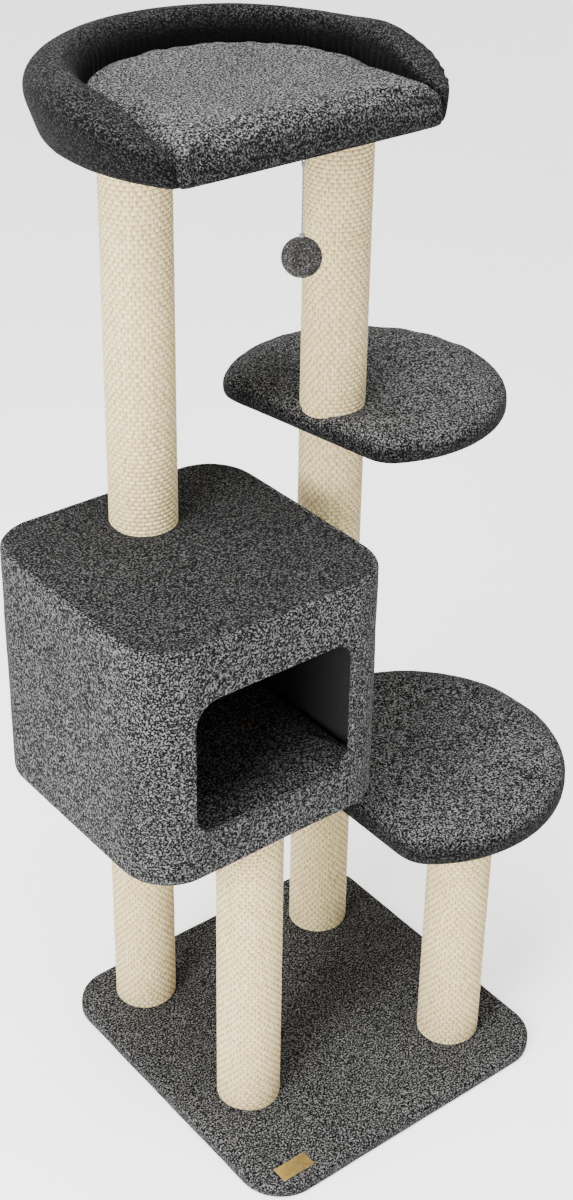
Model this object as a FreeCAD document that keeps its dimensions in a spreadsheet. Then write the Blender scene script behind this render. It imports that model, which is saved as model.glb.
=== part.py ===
"""Cat tree: a square base, four rope-wound posts, a carpeted cabin, two padded shelves and a
top perch with a bolster, held together by threaded studs. Millimetres, +Z up, front towards -Y,
origin at the middle of the base where it stands on the floor."""

import FreeCAD, Part
import math
import os
import re

import Sketcher

# Driving dimensions. Each is a cell of the sheet "Sizes" under the same name.
SIZES = {
    # base and sheet goods
    "base_side": 480,
    "base_corner": 60,
    "board": 15,
    "fabric": 2,
    "hem": 30,
    "plate_width": 49,
    "plate_depth": 23,
    "plate_thick": 1,
    "plate_corner": 2,
    "plate_centre_x": -182,
    "plate_centre_y": -211,
    # posts
    "post_diameter": 84,
    "tube_diameter": 75,
    "tube_wall": 3,
    "plug_thick": 22,
    "left_x": -146,
    "right_x": 147,
    "left_front_y": -66,
    "left_rear_y": 175,
    "right_front_y": -138,
    "right_rear_y": 151,
    # post lengths that show between one platform and the next
    "cabin_post": 456,
    "shelf_post": 331,
    "middle_post": 471,
    "perch_post": 466,
    # threaded hardware
    "stud_radius": 4,
    "insert_radius": 6,
    "insert_depth": 18,
    "head_radius": 8,
    "head_height": 4,
    "washer_radius": 11,
    "washer_thick": 1.5,
    "recess_gap": 0.5,
    "hex_radius": 3.4,
    "hex_depth": 2.5,
    "nut_barrel": 5,
    # cabin
    "cabin_width": 358,
    "cabin_depth": 358,
    "cabin_height": 321,
    "cabin_corner": 67,
    "cabin_x": -148,
    "cabin_y": 55,
    "cabin_wall": 4,
    "lining": 1.5,
    "door_width": 231,
    "door_height": 188,
    "door_sill": 61,
    "door_corner": 33,
    "door_shift": -4,
    "mat_thick": 26,
    "mat_gap": 4,
    "mat_rim": 11,
    # low shelf
    "low_radius": 207,
    "low_chord": 142,
    "low_corner": 48,
    "low_thick": 38,
    "low_rim": 15,
    "low_x": 190,
    "low_y": 2,
    # middle shelf
    "mid_radius": 190,
    "mid_chord": 131,
    "mid_corner": 42,
    "mid_thick": 31,
    "mid_rim": 13,
    "mid_x": 222,
    "mid_y": 176,
    "mid_turn": 9.4,
    "shelf_edge": 14,
    # perch
    "perch_radius": 246,
    "perch_chord": 138,
    "perch_corner": 72,
    "perch_x": -3,
    "perch_y": 143,
    "perch_height": 80,
    "perch_lip": 20,
    "bolster_width": 60,
    "bolster_skirt": 3,
    "bolster_end": 35,
    "bolster_slope": 16,
    "mattress_thick": 30,
    "mattress_rim": 12,
    "mattress_corner": 30,
    # hanging toy
    "toy_x": -8,
    "toy_y": 27,
    "staple_span": 12,
    "staple_wire": 0.8,
    "staple_drop": 4.5,
    "staple_bite": 9,
    "loop_radius": 3.2,
    "loop_wire": 0.9,
    "knot_radius": 2.6,
    "swing_gap": 0.3,
    "cord_radius": 1,
    "cord_length": 78,
    "tie_radius": 3.2,
    "tie_height": 4,
    "pompom_radius": 23.5,
}

# Heights and sizes that follow from the ones above, each in terms of sizes or earlier lines.
LEVELS = {
    "base_top": "fabric + board + fabric",
    "cabin_bottom": "base_top + cabin_post",
    "cabin_top": "cabin_bottom + cabin_height",
    "cabin_floor": "cabin_bottom + fabric + board",
    "cabin_ceiling": "cabin_top - fabric - board",
    "low_bottom": "base_top + shelf_post",
    "low_deck": "low_bottom + fabric + board",
    "mid_bottom": "low_deck + middle_post",
    "mid_deck": "mid_bottom + fabric + board",
    "perch_bottom": "cabin_top + perch_post",
    "perch_deck": "perch_bottom + fabric + board",
    "tube_bore": "tube_diameter / 2 - tube_wall",
    "post_radius": "post_diameter / 2",
    "head_recess": "head_height + washer_thick",
    "deck_radius": "perch_radius - perch_lip",
    "deck_corner": "perch_corner - perch_lip",
    "deck_chord": "perch_chord - bolster_skirt",
    "nest_radius": "perch_radius - bolster_width",
    "crown_z": "perch_bottom - staple_drop",
    "loop_z": "crown_z + staple_wire + swing_gap - loop_radius + loop_wire",
    "knot_z": "loop_z - loop_radius - knot_radius / 2",
    "cord_top": "knot_z - knot_radius - swing_gap",
    "cord_end": "cord_top - cord_length",
    "pompom_top": "cord_end - tie_height - swing_gap",
}

doc = FreeCAD.newDocument("cat_tree")
sheet = doc.addObject("Spreadsheet::Sheet", "Sizes")
levels = doc.addObject("App::VarSet", "Levels")

X_AXIS = FreeCAD.Vector(1, 0, 0)
Y_AXIS = FreeCAD.Vector(0, 1, 0)
Z_AXIS = FreeCAD.Vector(0, 0, 1)
ORIGIN = FreeCAD.Vector(0, 0, 0)
DRAWN = 100  # a sketch is drawn about this large, and its dimensions then take it to size


def link(formula):
    """The formula with each size or level name turned into its reference in the document."""

    def reference(match):
        word = match[0]
        if word in SIZES:
            return "Sizes." + word
        if word in LEVELS:
            return "Levels." + word
        return word

    return re.sub(r"[a-z][a-z_]+", reference, str(formula))


def fill_sizes():
    for row, (name, size) in enumerate(SIZES.items(), start=1):
        sheet.set(f"A{row}", name)
        sheet.set(f"B{row}", str(size))
        sheet.setAlias(f"B{row}", name)
    doc.recompute()
    for name, formula in LEVELS.items():
        levels.addProperty("App::PropertyFloat", name)
        levels.setExpression(name, link(formula))
    doc.recompute()


def bind(item, **formulas):
    for name, formula in formulas.items():
        item.setExpression(name, link(formula))


def place(item, x="0", y="0", z="0", axis=Z_AXIS, angle="0"):
    """Turns the item about the axis, then puts its own origin at x, y, z."""
    item.Placement = FreeCAD.Placement(ORIGIN, FreeCAD.Rotation(axis, 0))
    item.setExpression("Placement.Rotation.Angle", link(angle))
    for letter, formula in zip("xyz", (x, y, z)):
        item.setExpression("Placement.Base." + letter, link(formula))
    return item


def label(item, node):
    item.Label = node
    return item


# ---------------------------------------------------------------- sketched blocks


def new_sketch(body, role):
    sketch = body.newObject("Sketcher::SketchObject", body.Name + "_outline")
    plane = [p for p in body.Origin.OriginFeatures if p.Role == role][0]
    sketch.AttachmentSupport = [(plane, "")]
    sketch.MapMode = "FlatFace"
    return sketch


def dimension(sketch, name, formula, drawn, kind, *where):
    """A driving dimension of the sketch, tied to the formula. It starts at the size drawn."""
    number = sketch.addConstraint(Sketcher.Constraint(kind, *where, float(drawn)))
    sketch.renameConstraint(number, name)
    sketch.setExpression("Constraints." + name, link(formula))


def draw_rectangle(sketch, width, depth):
    """A rectangle centred on the sketch's origin."""
    half = DRAWN / 2
    outline = ((-half, -half), (half, -half), (half, half), (-half, half))
    corners = [FreeCAD.Vector(x, y, 0) for x, y in outline]
    for i in range(4):
        sketch.addGeometry(Part.LineSegment(corners[i], corners[(i + 1) % 4]), False)
    for i in range(4):
        sketch.addConstraint(Sketcher.Constraint("Coincident", i, 2, (i + 1) % 4, 1))
    for side, kind in enumerate(("Horizontal", "Vertical", "Horizontal", "Vertical")):
        sketch.addConstraint(Sketcher.Constraint(kind, side))
    sketch.addConstraint(Sketcher.Constraint("Symmetric", 0, 1, 2, 1, -1, 1))
    dimension(sketch, "width", width, DRAWN, "DistanceX", 0, 1, 0, 2)
    dimension(sketch, "depth", depth, DRAWN, "DistanceY", 1, 1, 1, 2)


def draw_chorded_circle(sketch, radius, chord):
    """A circle about the sketch's origin, cut straight at the chord's distance on the -X side."""
    half_sweep = math.radians(132)
    circle = Part.Circle(ORIGIN, Z_AXIS, DRAWN)
    sketch.addGeometry(Part.ArcOfCircle(circle, -half_sweep, half_sweep), False)
    front = DRAWN * math.cos(half_sweep)
    side = DRAWN * math.sin(half_sweep)
    start = FreeCAD.Vector(front, side, 0)
    end = FreeCAD.Vector(front, -side, 0)
    sketch.addGeometry(Part.LineSegment(start, end), False)
    sketch.addConstraint(Sketcher.Constraint("Coincident", 0, 3, -1, 1))
    sketch.addConstraint(Sketcher.Constraint("Coincident", 0, 2, 1, 1))
    sketch.addConstraint(Sketcher.Constraint("Coincident", 1, 2, 0, 1))
    sketch.addConstraint(Sketcher.Constraint("Vertical", 1))
    dimension(sketch, "chord", chord, -front, "DistanceX", 1, 1, -1, 1)
    dimension(sketch, "radius", radius, DRAWN, "Radius", 0)


def draw_arch(sketch, radius, front):
    """A half circle about the sketch's origin whose sides run on to a straight front at -X."""
    circle = Part.Circle(ORIGIN, Z_AXIS, DRAWN)
    sketch.addGeometry(Part.ArcOfCircle(circle, -math.pi / 2, math.pi / 2), False)
    reach = 0.7 * DRAWN
    outline = ((0, DRAWN), (-reach, DRAWN), (-reach, -DRAWN), (0, -DRAWN))
    corners = [FreeCAD.Vector(x, y, 0) for x, y in outline]
    for i in range(3):
        sketch.addGeometry(Part.LineSegment(corners[i], corners[i + 1]), False)
    sketch.addConstraint(Sketcher.Constraint("Coincident", 0, 3, -1, 1))
    for one, end, other, start in ((0, 2, 1, 1), (1, 2, 2, 1), (2, 2, 3, 1), (3, 2, 0, 1)):
        sketch.addConstraint(Sketcher.Constraint("Coincident", one, end, other, start))
    for side, kind in ((1, "Horizontal"), (2, "Vertical"), (3, "Horizontal")):
        sketch.addConstraint(Sketcher.Constraint(kind, side))
    sketch.addConstraint(Sketcher.Constraint("PointOnObject", 0, 1, -2))
    sketch.addConstraint(Sketcher.Constraint("PointOnObject", 0, 2, -2))
    dimension(sketch, "front", front, reach, "DistanceX", 2, 1, -1, 1)
    dimension(sketch, "radius", radius, DRAWN, "Radius", 0)


def upright_edges(shape):
    """Names of the straight edges that run along the block's own Z."""
    names = []
    for number, edge in enumerate(shape.Edges, start=1):
        if isinstance(edge.Curve, Part.Line) and abs(edge.Curve.Direction.z) > 0.999:
            names.append(f"Edge{number}")
    return names


def rim_edges(shape, top, bottom):
    """Names of the edges round the block's top face, its bottom face or both."""
    box = shape.BoundBox
    names = []
    for number, edge in enumerate(shape.Edges, start=1):
        span = edge.BoundBox
        flat = span.ZLength < 0.01
        if flat and top and abs(span.ZMax - box.ZMax) < 0.01:
            names.append(f"Edge{number}")
        if flat and bottom and abs(span.ZMin - box.ZMin) < 0.01:
            names.append(f"Edge{number}")
    return names


def round_edges(body, base, names, radius):
    fillet = body.newObject("PartDesign::Fillet", body.Name + "_round")
    fillet.Base = (base, names)
    bind(fillet, Radius=radius)
    doc.recompute()
    return fillet


def block(name, draw, sizes, height, corner, rim=None, top=True, bottom=True):
    """A body: an outline padded upwards, with rounded corners and, if asked, rounded rims."""
    body = doc.addObject("PartDesign::Body", name)
    sketch = new_sketch(body, "XY_Plane")
    draw(sketch, *sizes)
    pad = body.newObject("PartDesign::Pad", name + "_pad")
    pad.Profile = sketch
    bind(pad, Length=height)
    sketch.Visibility = False
    doc.recompute()
    tip = round_edges(body, pad, upright_edges(pad.Shape), corner)
    if rim:
        round_edges(body, tip, rim_edges(tip.Shape, top, bottom), rim)
    return body


def rectangle_block(name, width, depth, height, corner, **rims):
    return block(name, draw_rectangle, (width, depth), height, corner, **rims)


def chorded_block(name, radius, chord, height, corner, **rims):
    return block(name, draw_chorded_circle, (radius, chord), height, corner, **rims)


def arched_block(name, radius, front, height, corner, **rims):
    return block(name, draw_arch, (radius, front), height, corner, **rims)


# ---------------------------------------------------------------- plain solids and booleans


def cylinder(name, radius, height, x, y, z, axis=Z_AXIS, angle="0"):
    item = doc.addObject("Part::Cylinder", name)
    bind(item, Radius=radius, Height=height)
    return place(item, x, y, z, axis, angle)


def join(name, *items):
    item = doc.addObject("Part::MultiFuse", name)
    item.Shapes = list(items)
    return item


def group(name, items):
    """Separate solids that share one node."""
    item = doc.addObject("Part::Compound", name)
    item.Links = list(items)
    return item


def overlap(name, *items):
    """What the items have in common."""
    item = doc.addObject("Part::MultiCommon", name)
    item.Shapes = list(items)
    return item


def cut(name, base, *tools):
    item = doc.addObject("Part::Cut", name)
    item.Base = base
    item.Tool = tools[0] if len(tools) == 1 else join(name + "_tools", *tools)
    return item


# ---------------------------------------------------------------- where things stand

# Each post: place in plan, and the levels between which it stands.
POSTS = {
    "left_front_post": ("left_x", "left_front_y", "base_top", "cabin_bottom"),
    "left_rear_post": ("left_x", "left_rear_y", "base_top", "cabin_bottom"),
    "right_front_post": ("right_x", "right_front_y", "base_top", "low_bottom"),
    "right_rear_post": ("right_x", "right_rear_y", "base_top", "low_bottom"),
    "middle_post": ("right_x", "right_rear_y", "low_deck", "mid_bottom"),
    "upper_left_post": ("left_x", "right_rear_y", "cabin_top", "perch_bottom"),
    "upper_right_post": ("right_x", "right_rear_y", "mid_deck", "perch_bottom"),
}
GROUND_POSTS = ["left_front_post", "left_rear_post", "right_front_post", "right_rear_post"]
CABIN_POSTS = GROUND_POSTS[:2]
PERCH_POSTS = ["upper_left_post", "upper_right_post"]


def hole_at(name, post, radius, low, height):
    x, y = POSTS[post][:2]
    return cylinder(name, radius, height, x, y, low)


# ---------------------------------------------------------------- posts


def make_post(post):
    """A card tube wound with rope, with a wooden plug in each end."""
    x, y, low, high = POSTS[post]
    length = f"{high} - {low}"
    bore = cylinder(post + "_bore", "tube_bore", length, x, y, low)
    wall = cylinder(post + "_wall", "tube_diameter / 2", length, x, y, low)
    label(cut(post + "_tube", wall, bore), post + "_tube")
    winding = cylinder(post + "_winding", "post_radius", length, x, y, low)
    inside = cylinder(post + "_inside", "tube_diameter / 2", length, x, y, low)
    label(cut(post + "_rope", winding, inside), post + "_rope")
    plugs = []
    for end, start in (("low", low), ("high", f"{high} - plug_thick")):
        disc = cylinder(f"{post}_{end}_disc", "tube_bore", "plug_thick", x, y, start)
        eye = cylinder(f"{post}_{end}_eye", "insert_radius", "plug_thick", x, y, start)
        plugs.append(cut(f"{post}_{end}_plug", disc, eye))
    label(group(post + "_plugs", plugs), post + "_plugs")


def make_inserts():
    """A threaded steel sleeve in the outer face of every plug."""
    sleeves = []
    for post, (x, y, low, high) in POSTS.items():
        for end, start in (("low", low), ("high", f"{high} - insert_depth")):
            name = f"{post}_{end}_sleeve"
            outer = cylinder(name + "_outer", "insert_radius", "insert_depth", x, y, start)
            inner = cylinder(name + "_inner", "stud_radius", "insert_depth", x, y, start)
            sleeves.append(cut(name, outer, inner))
    label(group("threaded_inserts", sleeves), "threaded_inserts")


# ---------------------------------------------------------------- bolts, washers and studs


def bolt(name, x, y, seat, grip, upward=True):
    """A low-headed bolt with a hex socket. Its head's inner face is at seat, and its shank
    runs from there through the grip and into the insert."""
    axis, angle = (Z_AXIS, "0") if upward else (X_AXIS, "180")
    out = "-" if upward else "+"
    face = f"{seat} {out} head_height"
    head = cylinder(name + "_head", "head_radius", "head_height", x, y, face, axis, angle)
    length = f"{grip} + insert_depth"
    shank = cylinder(name + "_shank", "stud_radius", length, x, y, seat, axis, angle)
    socket = doc.addObject("Part::Prism", name + "_socket")
    bind(socket, Circumradius="hex_radius", Height="hex_depth")
    place(socket, x, y, face, axis, angle)
    return cut(name, join(name + "_solid", head, shank), socket)


def washer(name, x, y, low):
    outer = cylinder(name + "_outer", "washer_radius", "washer_thick", x, y, low)
    inner = cylinder(name + "_inner", "stud_radius", "washer_thick", x, y, low)
    return cut(name, outer, inner)


def make_fasteners():
    grip = "washer_thick + board - head_recess + fabric"
    bolts = []
    washers = []
    for post in GROUND_POSTS:
        x, y = POSTS[post][:2]
        bolts.append(bolt(post + "_bolt", x, y, "fabric + head_height", grip))
        washers.append(washer(post + "_washer", x, y, "fabric + head_height"))
    label(group("base_bolts", bolts), "base_bolts")
    label(group("base_washers", washers), "base_washers")

    bolts = []
    washers = []
    for post in CABIN_POSTS:
        x, y = POSTS[post][:2]
        seat = "cabin_floor - head_height"
        bolts.append(bolt(post + "_cabin_bolt", x, y, seat, grip, upward=False))
        washers.append(washer(post + "_cabin_washer", x, y, seat + " - washer_thick"))
    label(group("cabin_floor_bolts", bolts), "cabin_floor_bolts")
    label(group("cabin_floor_washers", washers), "cabin_floor_washers")

    x, y = POSTS["upper_left_post"][:2]
    seat = "cabin_ceiling + head_height"
    label(bolt("cabin_roof_bolt", x, y, seat, grip), "cabin_roof_bolt")
    label(washer("cabin_roof_washer", x, y, seat), "cabin_roof_washer")


def make_studs():
    """Double-ended studs between the two posts of the right rear column, and shorter ones that
    end in a flanged nut under the padding."""
    x, y = POSTS["right_rear_post"][:2]
    studs = []
    for name, low in (("low_stud", "low_bottom"), ("mid_stud", "mid_bottom")):
        length = "fabric + board + 2 * insert_depth"
        studs.append(cylinder(name, "stud_radius", length, x, y, low + " - insert_depth"))
    label(group("through_studs", studs), "through_studs")

    studs = []
    nuts = []
    for post in ["right_front_post"] + PERCH_POSTS:
        x, y, _, high = POSTS[post]
        deck = f"{high} + fabric + board"
        length = "insert_depth + fabric + board - washer_thick"
        studs.append(cylinder(post + "_stud", "stud_radius", length, x, y, high + " - insert_depth"))
        flange = cylinder(
            post + "_flange", "washer_radius", "washer_thick", x, y, deck + " - washer_thick"
        )
        barrel = cylinder(post + "_barrel", "nut_barrel", "board", x, y, deck + " - board")
        thread = cylinder(post + "_thread", "stud_radius", "board", x, y, deck + " - board")
        nuts.append(cut(post + "_nut", join(post + "_nut_solid", flange, barrel), thread))
    label(group("platform_studs", studs), "platform_studs")
    label(group("flanged_nuts", nuts), "flanged_nuts")


def nut_pocket(post):
    """The hole through a board for a flanged nut, and the seat for its flange."""
    x, y, _, high = POSTS[post]
    low = f"{high} + fabric"
    seat = f"{high} + fabric + board - washer_thick"
    return [
        cylinder(post + "_nut_hole", "nut_barrel", "board", x, y, low),
        cylinder(post + "_nut_seat", "washer_radius", "washer_thick", x, y, seat),
    ]


# ---------------------------------------------------------------- base


def make_base():
    side = "base_side - 2 * fabric"
    board = rectangle_block("base_blank", side, side, "board", "base_corner - fabric")
    place(board, z="fabric")
    tools = []
    for post in GROUND_POSTS:
        tools.append(hole_at(post + "_base_hole", post, "stud_radius", "fabric", "board"))
        recess = "washer_radius + recess_gap"
        tools.append(hole_at(post + "_base_recess", post, recess, "fabric", "head_recess"))
    label(cut("base_board", board, *tools), "base_board")

    inner = rectangle_block("base_core", side, side, "board", "base_corner - fabric")
    place(inner, z="fabric")
    outer = rectangle_block("base_skin", "base_side", "base_side", "base_top", "base_corner")
    opening = "base_side - 2 * hem"
    window = rectangle_block("base_window", opening, opening, "fabric", "base_corner - hem")
    tools = [hole_at(post + "_skin_hole", post, "stud_radius", "fabric + board", "fabric")
             for post in GROUND_POSTS]
    label(cut("base_cover", outer, inner, window, *tools), "base_cover")

    underlay = rectangle_block("underlay_blank", opening, opening, "fabric", "base_corner - hem")
    tools = [hole_at(post + "_underlay_hole", post, "washer_radius + recess_gap", "0", "fabric")
             for post in GROUND_POSTS]
    label(cut("base_underlay", underlay, *tools), "base_underlay")

    plate = rectangle_block(
        "label_plate", "plate_width", "plate_depth", "plate_thick", "plate_corner"
    )
    place(plate, "plate_centre_x", "plate_centre_y", "base_top")
    label(plate, "label_plate")


# ---------------------------------------------------------------- cabin


def cabin_block(name, inset, low, high):
    """A block of the cabin's outline, drawn in by the inset, between two levels."""
    item = rectangle_block(
        name,
        f"cabin_width - 2 * ({inset})",
        f"cabin_depth - 2 * ({inset})",
        f"{high} - ({low})",
        f"cabin_corner - ({inset})",
    )
    return place(item, "cabin_x", "cabin_y", low)


def doorway(name):
    """A block along Y that cuts the doorway through everything in the front wall. It starts
    inside, behind the rounded corners, and ends in front of the wall."""
    reach = "3 * cabin_corner / 2"
    item = rectangle_block(name, "door_width", "door_height", reach, "door_corner")
    return place(
        item,
        "cabin_x + door_shift",
        "cabin_y - cabin_depth / 2 + cabin_corner",
        "cabin_bottom + door_sill + door_height / 2",
        X_AXIS,
        "90",
    )


def cabin_ring(name, outer, inner, low, high):
    outside = cabin_block(name + "_outside", outer, low, high)
    inside = cabin_block(name + "_inside", inner, low, high)
    label(cut(name, outside, inside, doorway(name + "_doorway")), name)


def make_cabin():
    low = "cabin_bottom"
    high = "cabin_top"
    skin = "fabric"
    wall = "fabric + cabin_wall"
    cabin_ring("cabin_wall_cover", "0", skin, low, high)
    cabin_ring("cabin_wall", skin, wall, "cabin_bottom + fabric", "cabin_top - fabric")
    cabin_ring("cabin_lining", wall, wall + " + lining", "cabin_floor", "cabin_ceiling")

    roof_hole = ("upper_left_post", "stud_radius", "cabin_ceiling", "board + fabric")
    roof = cabin_block("roof_cover_blank", skin, "cabin_top - fabric", high)
    roof_cover = cut("cabin_roof_cover", roof, hole_at("roof_cover_hole", *roof_hole))
    label(roof_cover, "cabin_roof_cover")
    roof = cabin_block("roof_blank", wall, "cabin_ceiling", "cabin_top - fabric")
    recess = ("upper_left_post", "washer_radius + recess_gap", "cabin_ceiling", "head_recess")
    tools = [hole_at("roof_hole", *roof_hole), hole_at("roof_recess", *recess)]
    label(cut("cabin_roof_board", roof, *tools), "cabin_roof_board")

    floor = cabin_block("floor_cover_blank", skin, low, "cabin_bottom + fabric")
    tools = [hole_at(post + "_floor_cover_hole", post, "stud_radius", low, "fabric")
             for post in CABIN_POSTS]
    label(cut("cabin_floor_cover", floor, *tools), "cabin_floor_cover")
    floor = cabin_block("floor_blank", wall, "cabin_bottom + fabric", "cabin_floor")
    tools = []
    for post in CABIN_POSTS:
        tools.append(hole_at(post + "_floor_hole", post, "stud_radius", low, "fabric + board"))
        recess = (post, "washer_radius + recess_gap", "cabin_floor - head_recess", "head_recess")
        tools.append(hole_at(post + "_floor_recess", *recess))
    label(cut("cabin_floor_board", floor, *tools), "cabin_floor_board")

    inset = "fabric + cabin_wall + lining + mat_gap"
    mat = rectangle_block(
        "cabin_mat",
        f"cabin_width - 2 * ({inset})",
        f"cabin_depth - 2 * ({inset})",
        "mat_thick",
        f"cabin_corner - ({inset})",
        rim="mat_rim",
    )
    place(mat, "cabin_x", "cabin_y", "cabin_floor + swing_gap")
    label(mat, "cabin_mat")


# ---------------------------------------------------------------- padded shelves


def make_shelf(node, key, corner_post, turn):
    """A D-shaped board, foam that wraps its edge and top, and a fabric cover. The column of
    posts passes through at the right rear, where the upper post stands on the board."""
    bottom = key + "_bottom"
    deck = key + "_deck"
    where = (key + "_x", key + "_y")

    def shelf_block(name, inset, low, height, rim=None):
        item = chorded_block(
            name,
            f"{key}_radius - ({inset})",
            f"{key}_chord - ({inset})",
            height,
            f"{key}_corner - ({inset})",
            rim=rim,
        )
        return place(item, *where, low, Z_AXIS, turn)

    def stud_hole(name):
        return hole_at(name, "right_rear_post", "stud_radius", bottom, "fabric + board")

    def post_hole(name):
        return hole_at(name, "middle_post", "post_radius", deck, f"{key}_thick")

    inset = "fabric + shelf_edge"
    board_low = bottom + " + fabric"
    tools = [stud_hole(node + "_stud_hole")]
    if corner_post:
        tools += nut_pocket(corner_post)
    board = shelf_block(node + "_blank", inset, board_low, "board")
    label(cut(node + "_board", board, *tools), node + "_board")

    thick = f"{key}_thick - 2 * fabric"
    rim = f"{key}_rim - fabric"
    foam = shelf_block(node + "_foam", "fabric", board_low, thick, rim)
    core = shelf_block(node + "_core", inset, board_low, "board")
    padding = cut(node + "_padding", foam, core, post_hole(node + "_padding_hole"))
    label(padding, node + "_padding")

    skin = shelf_block(node + "_skin", "0", bottom, f"{key}_thick", f"{key}_rim")
    filling = shelf_block(node + "_filling", "fabric", board_low, thick, rim)
    tools = [stud_hole(node + "_cover_stud_hole"), post_hole(node + "_cover_post_hole")]
    if corner_post:
        tools.append(hole_at(node + "_cover_nut_hole", corner_post, "stud_radius", bottom, "fabric"))
    label(cut(node + "_cover", skin, filling, *tools), node + "_cover")


def make_shelves():
    make_shelf("low_shelf", "low", "right_front_post", "0")
    make_shelf("middle_shelf", "mid", None, "mid_turn")


# ---------------------------------------------------------------- perch


def deck_block(name, inset, low, height):
    """A block of the perch board's outline, its straight side towards -Y."""
    item = chorded_block(
        name,
        f"deck_radius - ({inset})",
        f"deck_chord - ({inset})",
        height,
        f"deck_corner - ({inset})",
    )
    return place(item, "perch_x", "perch_y", low, Z_AXIS, "90")


def perch_outline(name):
    """A block of the whole perch's outline and height."""
    item = chorded_block(name, "perch_radius", "perch_chord", "perch_height", "perch_corner")
    return place(item, "perch_x", "perch_y", "perch_bottom", Z_AXIS, "90")


def draw_bolster(sketch):
    """The bolster's section: the radius runs along the sketch's X, height along its Y. A round
    crown on a wall that leans in to its foot and covers the board's edge."""
    inner, skirt, foot, outer = 188, 229, 232, 248
    deck, spring = 17, 50
    middle = FreeCAD.Vector((inner + outer) / 2, spring, 0)
    crown = Part.Circle(middle, Z_AXIS, (outer - inner) / 2)
    outline = ((inner, deck), (inner, spring), (outer, spring), (foot, 0), (skirt, 0), (skirt, deck))
    corners = [FreeCAD.Vector(x, y, 0) for x, y in outline]
    sketch.addGeometry(Part.LineSegment(corners[0], corners[1]), False)
    sketch.addGeometry(Part.ArcOfCircle(crown, 0, math.pi), False)
    for i in (2, 3, 4, 5):
        sketch.addGeometry(Part.LineSegment(corners[i], corners[(i + 1) % 6]), False)
    joints = [((0, 2), (1, 2)), ((1, 1), (2, 1)), ((2, 2), (3, 1)),
              ((3, 2), (4, 1)), ((4, 2), (5, 1)), ((5, 2), (0, 1))]
    for (one, end), (other, start) in joints:
        sketch.addConstraint(Sketcher.Constraint("Coincident", one, end, other, start))
    sketch.addConstraint(Sketcher.Constraint("Vertical", 0))
    sketch.addConstraint(Sketcher.Constraint("Vertical", 4))
    sketch.addConstraint(Sketcher.Constraint("Horizontal", 5))
    sketch.addConstraint(Sketcher.Constraint("PointOnObject", 3, 1, -1))
    sketch.addConstraint(Sketcher.Constraint("PointOnObject", 3, 2, -1))
    sketch.addConstraint(Sketcher.Constraint("Horizontal", 0, 2, 2, 1))
    springing = "perch_height - bolster_width / 2"
    dimension(sketch, "nest", "nest_radius", inner, "DistanceX", -1, 1, 0, 1)
    dimension(sketch, "outside", "perch_radius", outer, "DistanceX", -1, 1, 2, 1)
    dimension(sketch, "foot", "deck_radius + bolster_skirt", foot, "DistanceX", -1, 1, 2, 2)
    dimension(sketch, "skirt", "deck_radius", skirt, "DistanceX", -1, 1, 4, 1)
    dimension(sketch, "spring", springing, spring, "DistanceY", -1, 1, 2, 1)
    dimension(sketch, "crown_middle", springing, spring, "DistanceY", -1, 1, 1, 3)
    dimension(sketch, "deck", "fabric + board", deck, "DistanceY", -1, 1, 5, 1)


def make_bolster():
    ring = doc.addObject("PartDesign::Body", "bolster_ring")
    sketch = new_sketch(ring, "XZ_Plane")
    draw_bolster(sketch)
    turn = ring.newObject("PartDesign::Revolution", "bolster_turn")
    turn.Profile = sketch
    turn.ReferenceAxis = (sketch, ["V_Axis"])
    turn.Angle = 360
    sketch.Visibility = False
    place(ring, "perch_x", "perch_y", "perch_bottom")

    horseshoe = overlap("bolster_horseshoe", ring, perch_outline("bolster_outline"))

    # The arms' inner sides run straight forward, so they thin out towards the front corners.
    aisle = doc.addObject("Part::Box", "bolster_aisle")
    bind(aisle, Length="2 * nest_radius", Width="perch_chord", Height="perch_height")
    place(aisle, "perch_x - nest_radius", "perch_y - perch_chord", "perch_bottom")

    # A tilted block takes the crown down towards the two front ends.
    ramp = doc.addObject("Part::Box", "bolster_ramp")
    bind(ramp, Length="2 * perch_radius", Width="2 * perch_radius", Height="perch_height")
    place(
        ramp,
        "perch_x - perch_radius",
        "perch_y - perch_chord",
        "perch_bottom + bolster_end",
        X_AXIS,
        "bolster_slope",
    )
    label(cut("bolster", horseshoe, aisle, ramp), "bolster")


def make_perch():
    board = deck_block("perch_blank", "fabric", "perch_bottom + fabric", "board")
    staple = make_staple("board_staple")
    tools = [staple]
    for post in PERCH_POSTS:
        tools += nut_pocket(post)
    label(cut("perch_board", board, *tools), "perch_board")

    skin = deck_block("perch_skin", "0", "perch_bottom", "fabric + board")
    core = deck_block("perch_core", "fabric", "perch_bottom + fabric", "board")
    tools = [core, make_staple("cover_staple")]
    for post in PERCH_POSTS:
        tools.append(hole_at(post + "_cover_hole", post, "stud_radius", "perch_bottom", "fabric"))
    label(cut("perch_cover", skin, *tools), "perch_cover")

    pad = arched_block(
        "mattress_pad",
        "nest_radius",
        "perch_chord",
        "mattress_thick",
        "mattress_corner",
        rim="mattress_rim",
        bottom=False,
    )
    place(pad, "perch_x", "perch_y", "perch_deck", Z_AXIS, "90")
    label(overlap("mattress", pad, perch_outline("mattress_outline")), "mattress")


# ---------------------------------------------------------------- hanging toy


def make_staple(name):
    """A wire staple with its crown along X below the perch and its legs up in the board."""
    half = "staple_span / 2"
    left = cylinder(name + "_left", "staple_wire", "staple_drop + staple_bite",
                    f"toy_x - {half}", "toy_y", "crown_z")
    right = cylinder(name + "_right", "staple_wire", "staple_drop + staple_bite",
                     f"toy_x + {half}", "toy_y", "crown_z")
    crown = cylinder(name + "_crown", "staple_wire", "staple_span + 2 * staple_wire",
                     f"toy_x - {half} - staple_wire", "toy_y", "crown_z", Y_AXIS, "90")
    return join(name, left, right, crown)


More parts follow.
